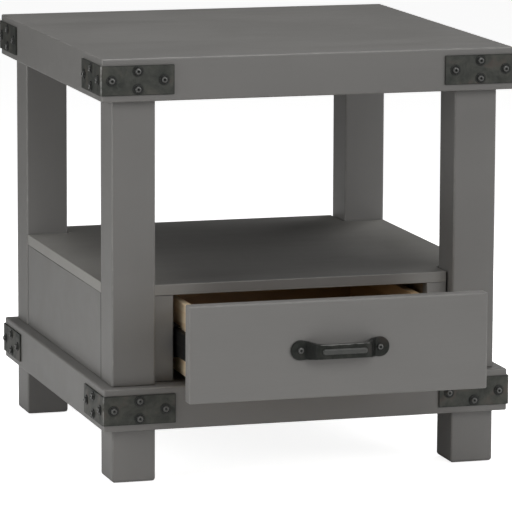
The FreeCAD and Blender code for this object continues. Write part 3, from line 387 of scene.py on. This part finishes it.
def paint_uprights():
    """Posts and feet: their ends butt against the slabs, so only long edges and the feet's soles wear and get
    a painted edge highlight.
    """
    for number, corner in enumerate(CORNERS):
        post, foot = f"post_{corner}", f"foot_{corner}"
        middle, half = box_of(post)
        half.z = FAR
        give(painted(post, "Z", 11 + number, middle, half), post)
        low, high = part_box(foot)
        middle = Vector(((low.x + high.x) / 2, (low.y + high.y) / 2, low.z + FAR))
        give(painted(foot, "Z", 17 + number, middle, half), foot)


def paint_cabinet():
    """The shelf and the drawer front wear, with a painted highlight, at their edges; the boards let in under
    the shelf have seams darkened as painted shade.
    """
    grains = {"shelf": "X", "drawer_front": "X", "side_panel_left": "Y", "side_panel_right": "Y",
              "stile_left": "Z", "stile_right": "Z", "back_panel": "X"}
    for shift, (name, along) in enumerate(grains.items(), 23):
        middle, half = box_of(name)
        seam_shade = None
        if name not in ("shelf", "drawer_front"):
            lap = Vector((0.0, SEAM_SHADE_LAP, 0.0)) if along == "Y" else Vector()
            seam_shade = (middle, half - lap)
            half = Vector((FAR, FAR, FAR))
        give(painted(name, along, shift, middle, half, seam_shade), name)


# ---------------------------------------------------------------- pine, plywood and bare boards

# Early and late wood of each board.  The three pines are one pine in a lit copy and shaded copies: painted
# light on the drawer's outer side, painted shade on the boards deeper in the cabinet.
LIT_PINE = ((0.94, 0.79, 0.57), (0.80, 0.59, 0.36))
SHADED_PINE = ((0.56, 0.40, 0.23), (0.40, 0.25, 0.12))
DEEP_SHADED_PINE = ((0.42, 0.29, 0.16), (0.29, 0.18, 0.09))
VENEER = ((0.52, 0.38, 0.23), (0.36, 0.23, 0.12))
BARE_WOOD = ((0.34, 0.25, 0.16), (0.21, 0.14, 0.08))
WOOD_DUST = (0.5, 0.44, 0.36)


def timber(name, along, shift, tones, ring_scale, roughness, coat, depth):
    """Softwood: pale early wood, darker late wood, pores and a few small knots, lacquered or bare."""
    early, late = tones
    material, tree, shader, place = new_finish(name)
    run = grain_place(tree, place, along, shift)
    wood = use_group(tree, WOOD_FIGURE, {"Place": run, "Ring Scale": ring_scale, "Waver": 1.0})
    dust = use_group(tree, DUST, {"Place": place, "Scale": 1.0})
    bands = spread(tree, wood["Rings"], 0.35, 0.95, smooth=True)
    colour = lay(tree, bands, 0.7, (*early, 1), late)
    colour = lay(tree, spread(tree, wood["Tone"], 0.35, 0.7), 0.25, colour, late, "MULTIPLY")
    colour = lay(tree, wood["Pores"], 0.25, colour, late)
    knots = spread(tree, cells(tree, stretched(tree, run, (3.1, 8.5, 8.5)), 1.0), 0.03, 0.12, 1.0, 0.0)
    colour = lay(tree, knots, 0.7, colour, toned(late, 0.35))
    colour = lay(tree, dust["Cloud"], 0.10, colour, WOOD_DUST)
    gloss = spread(tree, dust["Cloud"], 0.0, 1.0, roughness, roughness + 0.12)
    height = calc(tree, "MULTIPLY_ADD", wood["Pores"], -0.7, calc(tree, "MULTIPLY", bands, 0.3))
    finish_surface(tree, shader, colour, gloss, height, depth, 0.7)
    wire(tree, shader, {"Coat Weight": coat, "Coat Roughness": 0.3})
    return material


def finish_drawer_box():
    """Lacquered pine boards and the box's plywood bottom; the pine boards are lit and shaded copies of one
    pine, as painted light and shade.
    """
    boards = {"drawer_side_left": ("Y", LIT_PINE), "drawer_side_right": ("Y", SHADED_PINE),
              "drawer_sub_front": ("X", SHADED_PINE), "drawer_back": ("X", DEEP_SHADED_PINE)}
    for shift, (name, (along, tones)) in enumerate(boards.items(), 31):
        pine = timber(f"{name}_pine", along, shift, tones, ring_scale=26.0, roughness=0.42, coat=0.15,
                      depth=0.08 * MM)
        give(pine, name)
    plywood = timber("plywood_face", "X", 37, VENEER, ring_scale=7.0, roughness=0.5, coat=0.05,
                     depth=0.05 * MM)
    give(plywood, "drawer_bottom")


def finish_bare_boards():
    """Wood with no finish, inside the slabs and the cabinet."""
    for shift, name in enumerate(("partition_left", "partition_right", "corner_blocks"), 41):
        bare = timber(f"{name}_wood", "Y", shift, BARE_WOOD, ring_scale=18.0, roughness=0.66, coat=0.0,
                      depth=0.15 * MM)
        give(bare, name)


# ---------------------------------------------------------------- iron, steel and nylon

# The fittings' own sizes: a screw's head, the pull's bead off its strap, half the strap's height, and how far
# the pull's legs are from its middle.
HEAD_RADIUS = 4.5 * MM
PULL_BEAD = 3.0 * MM
PULL_STRAP_HALF = 10.3 * MM
PULL_LEG = 46.0 * MM

BLACK = (0.010, 0.011, 0.010)
BARE_STEEL_AND_HIGHLIGHT = (0.250, 0.250, 0.242)
BEAD_HIGHLIGHT_STEEL = (0.14, 0.142, 0.138)
# Blackened iron: where it is darkest, in between and lightest, and where it has rusted.
BRACKET_IRON = ((0.025, 0.028, 0.024), (0.043, 0.045, 0.039), (0.069, 0.069, 0.058), (0.070, 0.050, 0.043))
PULL_IRON = ((0.013, 0.014, 0.012), (0.021, 0.023, 0.020), (0.034, 0.035, 0.031), (0.036, 0.027, 0.023))
SMALL_FITTING_PATTERN = {"Mottle Scale": 240.0, "Pit Scale": 1500.0}


def iron_skin(tree, place, mottle_scale, dark, mid, light, rust):
    """The colours of blackened iron, and the pattern that they follow."""
    iron = use_group(tree, SCALE_AND_PITS, {"Place": place, "Mottle Scale": mottle_scale, "Pit Scale": 460.0})
    colour = shades(tree, iron["Mottle"], [(0.34, dark), (0.50, mid), (0.64, light)])
    colour = lay(tree, iron["Scale"], 0.45, colour, mid)
    rusty = noise(tree, place, 30.0, detail=4.0, rough=0.6, distort=0.4)
    colour = lay(tree, spread(tree, rusty, 0.54, 0.68, smooth=True), 0.55, colour, rust)
    return iron, lay(tree, calc(tree, "SUBTRACT", 1.0, iron["Unpitted"]), 0.6, colour, dark)


def finish_iron(tree, shader, iron, colour, roughness, metal, depth):
    """Gloss follows the mottling, and flaked patches are a little less metallic."""
    gloss = spread(tree, iron["Mottle"], 0.35, 0.65, roughness + 0.08, roughness - 0.05)
    finish_surface(tree, shader, colour, gloss, iron["Height"], depth, 0.8)
    wire(tree, shader, {"Metallic": spread(tree, iron["Scale"], 0.0, 1.0, metal, metal - 0.15)})


def bracket_iron(bracket, out_x, out_y, slab):
    """A bracket: painted shade along its outline and a painted shadow round its washers, and a bend that is
    rubbed bright and given a painted highlight.
    """
    material, tree, shader, place = new_finish(f"{bracket}_iron")
    iron, colour = iron_skin(tree, place, 30.0, *BRACKET_IRON)
    off_axis = use_group(tree, SCREW_RINGS, {"Place": place, "Middle": slab[0], "Half": slab[1]})["Off Axis"]
    # Painted shadow: a dark ring round each washer.
    washer_shadow = spread(tree, off_axis, 7.0 * MM, 9.0 * MM, 1.0, 0.0, smooth=True)
    colour = lay(tree, washer_shadow, 0.75, colour, BLACK)
    middle, half = box_of(bracket)
    # Painted shade: the bracket's outline darkened.
    edge_shade = use_group(tree, EDGE_NEARNESS, {"Place": place, "Middle": middle, "Half": half,
                                          "Width": 1.6 * MM, "Patches": 90.0})["Near Edge"]
    colour = lay(tree, edge_shade, 0.7, colour, BLACK)
    bend = middle + Vector((out_x * half.x, out_y * half.y, 0.0))
    inward = Vector((out_x * FAR, out_y * FAR, 0.0))
    # The bend rubbed bright, and a painted highlight along it.
    rubbed_and_highlit = use_group(tree, EDGE_NEARNESS, {"Place": place, "Middle": bend - inward, "Half": (FAR, FAR, 2 * FAR),
                                         "Width": 2.4 * MM, "Patches": 70.0})["Near Edge"]
    colour = lay(tree, rubbed_and_highlit, 0.85, colour, BARE_STEEL_AND_HIGHLIGHT)
    finish_iron(tree, shader, iron, colour, roughness=0.50, metal=0.45, depth=0.30 * MM)
    return material


def finish_brackets():
    for tier in ("top", "base"):
        slab = slab_box(tier)
        for corner, (out_x, out_y) in CORNERS.items():
            bracket = f"{tier}_bracket_{corner}"
            give(bracket_iron(bracket, out_x, out_y, slab), bracket)


def finish_pull():
    """The pull: smoother than the brackets, with painted shade on its legs, a painted highlight on its bead,
    and its upper rim rubbed bright and given a painted highlight.
    """
    material, tree, shader, place = new_finish("pull_iron")
    iron, colour = iron_skin(tree, place, 70.0, *PULL_IRON)
    low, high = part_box("handle_pull")
    bead_front, strap_front = low.y, low.y + PULL_BEAD
    strap_top = (low.z + high.z) / 2 + PULL_STRAP_HALF
    behind_rim = Vector((0.0, strap_front + FAR, strap_top - FAR))
    # The upper rim rubbed bright, with a painted highlight.
    rim_rubbed_and_highlit = use_group(tree, EDGE_NEARNESS, {"Place": place, "Middle": behind_rim, "Half": (FAR, FAR, FAR),
                                      "Width": 2.0 * MM, "Patches": 60.0})["Near Edge"]
    colour = lay(tree, rim_rubbed_and_highlit, 0.8, colour, BARE_STEEL_AND_HIGHLIGHT)
    sideways, toward, _ = xyz(tree, place)
    # Painted highlight on the bead.
    bead_highlight = spread(tree, toward, strap_front, bead_front, smooth=True)
    colour = lay(tree, bead_highlight, 0.42, colour, BEAD_HIGHLIGHT_STEEL)
    # Painted shade on the legs.
    off_leg = calc(tree, "ABSOLUTE", calc(tree, "SUBTRACT", calc(tree, "ABSOLUTE", sideways), PULL_LEG))
    leg_shade = spread(tree, off_leg, 4.0 * MM, 9.0 * MM, 1.0, 0.0, smooth=True)
    colour = lay(tree, leg_shade, 0.7, colour, BLACK)
    finish_iron(tree, shader, iron, colour, roughness=0.36, metal=0.40, depth=0.10 * MM)
    wire(tree, shader, {"Specular IOR Level": 0.25})
    give(material, "handle_pull")


# A screw head's colours from its middle, 0, to its rim, 1: the socket, the flat rim and the dome, with the
# socket black as painted shade, the rim and dome lightened as a painted highlight and the edge darkened as
# painted shade.
HEAD_LIGHT_AND_SHADE = [(0.36, BLACK), (0.44, (0.060, 0.061, 0.058)), (0.58, (0.125, 0.126, 0.121)),
               (0.84, (0.110, 0.110, 0.106)), (0.97, (0.024, 0.025, 0.023))]


def screw_heads(name, off_axis_of):
    """Button heads: a hexagon socket blackened as painted shade, a flat rim and a dome lightened as a painted
    highlight.
    """
    material, tree, shader, place = new_finish(name)
    iron = use_group(tree, SCALE_AND_PITS, {"Place": place, **SMALL_FITTING_PATTERN})
    across = spread(tree, off_axis_of(tree, place), 0.0, HEAD_RADIUS)
    colour = lay(tree, iron["Scale"], 0.5, shades(tree, across, HEAD_LIGHT_AND_SHADE), (0.050, 0.052, 0.048))
    gloss = spread(tree, iron["Scale"], 0.0, 1.0, 0.30, 0.42)
    finish_surface(tree, shader, colour, gloss, iron["Height"], 0.03 * MM, 0.6)
    wire(tree, shader, {"Metallic": 0.35})
    return material


def off_bracket_screws(tree, place):
    """How far a point is from the axis of the nearest bracket screw of either slab."""
    rings = []
    for tier in ("top", "base"):
        middle, half = slab_box(tier)
        slab = use_group(tree, SCREW_RINGS, {"Place": place, "Middle": middle, "Half": half})
        rings.append(slab["Off Axis"])
    return calc(tree, "MINIMUM", *rings)


def off_pull_screws(tree, place):
    """The pull's two screws lie the same way off the middle of their own box."""
    middle, half = box_of("handle_screws")
    off = calc_vector(tree, "ABSOLUTE", calc_vector(tree, "SUBTRACT", place, middle))
    return distance(tree, stretched(tree, off, (1.0, 0.0, 1.0)), (half.x - HEAD_RADIUS, 0.0, 0.0))


def black_washers():
    """Black oxide on pressed steel, dulled in places."""
    material, tree, shader, place = new_finish("black_washers")
    iron = use_group(tree, SCALE_AND_PITS, {"Place": place, **SMALL_FITTING_PATTERN})
    colour = shades(tree, iron["Mottle"], [(0.35, BLACK), (0.65, (0.026, 0.027, 0.025))])
    gloss = spread(tree, iron["Scale"], 0.0, 1.0, 0.36, 0.50)
    finish_surface(tree, shader, colour, gloss, iron["Height"], 0.03 * MM, 0.6)
    wire(tree, shader, {"Metallic": 0.4})
    return material


def zinc_plate():
    """Bright zinc with its spangle and a few dull finger marks."""
    material, tree, shader, place = new_finish("zinc_plate")
    spangle = cells(tree, place, 420.0)
    dust = use_group(tree, DUST, {"Place": place, "Scale": 6.0})
    crystals = [(0.0, (0.44, 0.45, 0.47)), (1.0, (0.62, 0.62, 0.62))]
    colour = shades(tree, spread(tree, spangle, 0.0, 0.8), crystals)
    colour = lay(tree, dust["Cloud"], 0.25, colour, (0.36, 0.36, 0.36))
    gloss = spread(tree, dust["Cloud"], 0.0, 1.0, 0.24, 0.38)
    finish_surface(tree, shader, colour, gloss, spangle, 0.02 * MM, 0.4)
    wire(tree, shader, {"Metallic": 1.0})
    return material


def black_coat_steel():
    """Rolled slide steel under black dip paint, with rolling lines along its length."""
    material, tree, shader, place = new_finish("slide_black_coat")
    rolled = noise(tree, stretched(tree, place, (900.0, 6.0, 900.0)), 1.0, detail=2.0, rough=0.6)
    dust = use_group(tree, DUST, {"Place": place, "Scale": 4.0})
    colour = lay(tree, dust["Cloud"], 0.35, (0.004, 0.004, 0.004, 1), (0.011, 0.011, 0.010))
    gloss = spread(tree, rolled, 0.3, 0.7, 0.38, 0.50)
    finish_surface(tree, shader, colour, gloss, rolled, 0.03 * MM, 0.5)
    wire(tree, shader, {"Specular IOR Level": 0.18})
    return material


def nylon():
    """Moulded nylon: a fine spark-eroded texture with scuffs."""
    material, tree, shader, place = new_finish("nylon_glide")
    grit = noise(tree, place, 1400.0, rough=0.6)
    dust = use_group(tree, DUST, {"Place": place, "Scale": 8.0})
    colour = lay(tree, dust["Cloud"], 0.3, (0.035, 0.034, 0.033, 1), (0.085, 0.082, 0.078))
    gloss = spread(tree, grit, 0.3, 0.7, 0.45, 0.62)
    finish_surface(tree, shader, colour, gloss, grit, 0.05 * MM, 0.5)
    return material


def finish_small_metal():
    """Screws, washers, studs, slides and ball cages, and the feet's nylon glides."""
    give(screw_heads("bracket_screw_black", off_bracket_screws), "bracket_screws")
    give(screw_heads("pull_screw_black", off_pull_screws), "handle_screws")
    give(black_washers(), "bracket_washers")
    cages = [f"ball_cage_{ring}_{side}" for ring in ("outer", "inner") for side in ("left", "right")]
    give(zinc_plate(), "corner_studs", "drawer_screws", "slide_screws_cabinet", *cages)
    layers = ("outer", "middle", "inner")
    members = [f"slide_{layer}_{side}" for layer in layers for side in ("left", "right")]
    give(black_coat_steel(), *members)
    give(nylon(), "foot_glides")


# ---------------------------------------------------------------- floor, light and camera

FLOOR_RADIUS = 30.0
# The floor glows to the camera alone, so it looks as pale as the room but doesn't light the table.
FLOOR_GLOW = 0.86


def make_floor():
    """A large plain floor, its rim far behind the table."""
    mesh = bmesh.new()
    bmesh.ops.create_circle(mesh, cap_ends=True, segments=96, radius=FLOOR_RADIUS)
    data = bpy.data.meshes.new("floor")
    mesh.to_mesh(data)
    mesh.free()
    floor = bpy.data.objects.new("floor", data)
    bpy.context.scene.collection.objects.link(floor)
    material, tree, shader, place = new_finish("floor_white")
    colour = shades(tree, noise(tree, place, 1.7), [(0.3, (0.90, 0.90, 0.895)), (0.7, (0.93, 0.93, 0.925))])
    path = tree.nodes.new("ShaderNodeLightPath")
    glow = calc(tree, "MULTIPLY", path.outputs["Is Camera Ray"], FLOOR_GLOW)
    wire(tree, shader, {"Base Color": colour, "Roughness": 0.9, "Specular IOR Level": 0.1,
                        "Emission Color": (1, 1, 1, 1), "Emission Strength": glow})
    data.materials.append(material)


# Softboxes: where each hangs, what it faces, its width and height in metres, and its watts.
SOFTBOXES = {
    "over_table": ((0.0, 0.0, 2.2), (0.0, 0.0, 0.6), 1.8, 1.8, 31.0),
    "front_high": ((0.2, -2.4, 1.7), (0.0, -0.3, 0.35), 1.6, 1.2, 17.5),
    "left": ((-1.8, -0.4, 0.8), (-0.3, 0.0, 0.35), 1.4, 1.0, 17.5),
    "right_back": ((1.5, 1.1, 0.75), (0.15, 0.0, 0.3), 0.9, 0.6, 14.5),
}
# A broad low fill from the front right, as if from far away: its angles and its width in degrees.
FILL_AZIMUTH, FILL_ELEVATION, FILL_WIDTH, FILL_STRENGTH = 135.0, 8.0, 40.0, 1.4
WHITE = (1.0, 1.0, 1.0, 1.0)
ROOM_LIGHT = 0.02


def direction(azimuth, elevation):
    """Azimuth 0 looks along +Y and turns towards +X; a positive elevation looks up."""
    level = math.cos(elevation)
    return Vector((math.sin(azimuth) * level, math.cos(azimuth) * level, math.sin(elevation)))


def hang(name, lamp, towards, at=(0.0, 0.0, 0.0)):
    """Hang a lamp so that it shines along a direction."""
    hung = bpy.data.objects.new(name, lamp)
    hung.location = at
    hung.rotation_mode = "QUATERNION"
    hung.rotation_quaternion = (-Vector(towards)).to_track_quat("Z", "Y")
    hung.visible_camera = False
    bpy.context.scene.collection.objects.link(hung)


def make_lamps():
    for name, (at, faces, width, height, watts) in SOFTBOXES.items():
        lamp = bpy.data.lights.new(name, "AREA")
        lamp.shape = "RECTANGLE"
        lamp.size, lamp.size_y = width, height
        lamp.energy = watts
        hang(name, lamp, Vector(faces) - Vector(at), at)
    fill = bpy.data.lights.new("front_fill", "SUN")
    fill.energy = FILL_STRENGTH
    fill.angle = math.radians(FILL_WIDTH)
    hang("front_fill", fill, -direction(math.radians(FILL_AZIMUTH), math.radians(FILL_ELEVATION)))


def make_room():
    """A white room that hardly lights the table: the softboxes do."""
    room = bpy.data.worlds.new("room")
    room.use_nodes = True
    tree = room.node_tree
    tree.nodes.clear()
    lit = add(tree, "ShaderNodeBackground", {"Color": WHITE, "Strength": ROOM_LIGHT})
    seen = add(tree, "ShaderNodeBackground", {"Color": WHITE, "Strength": 1.0})
    path = tree.nodes.new("ShaderNodeLightPath")
    chosen = add(tree, "ShaderNodeMixShader", {0: path.outputs["Is Camera Ray"], 1: lit.outputs[0],
                                               2: seen.outputs[0]})
    output = tree.nodes.new("ShaderNodeOutputWorld")
    tree.links.new(chosen.outputs[0], output.inputs["Surface"])
    bpy.context.scene.world = room
    bpy.context.scene.view_settings.view_transform = "Standard"


# Place in metres, angles in degrees, lens and sensor in millimetres.
CAMERA_AT = Vector((-1.7659, -5.9229, 1.2985))
CAMERA_YAW, CAMERA_PITCH, CAMERA_ROLL = 16.705, -9.40, 0.228
CAMERA_LENS, CAMERA_SENSOR = 294.95, 36.0


def make_camera():
    """A long lens from the front left, a little above the table."""
    yaw, pitch, roll = map(math.radians, (CAMERA_YAW, CAMERA_PITCH, CAMERA_ROLL))
    ahead = direction(yaw, pitch)
    level = direction(yaw + math.pi / 2, 0.0)
    upright = level.cross(ahead)
    right = level * math.cos(roll) + upright * math.sin(roll)
    up = upright * math.cos(roll) - level * math.sin(roll)
    data = bpy.data.cameras.new("camera")
    data.lens = CAMERA_LENS
    data.sensor_width = CAMERA_SENSOR
    data.clip_end = 2 * FLOOR_RADIUS
    camera = bpy.data.objects.new("camera", data)
    camera.matrix_world = Matrix((right, up, -ahead)).transposed().to_4x4()
    camera.location = CAMERA_AT
    bpy.context.scene.collection.objects.link(camera)
    bpy.context.scene.camera = camera


# ---------------------------------------------------------------- the table

paint_slab("top", "top_panel", "top_underside")
paint_slab("base", "base_panel")
paint_uprights()
paint_cabinet()
finish_drawer_box()
finish_bare_boards()
finish_brackets()
finish_pull()
finish_small_metal()
make_floor()
make_lamps()
make_room()
make_camera()
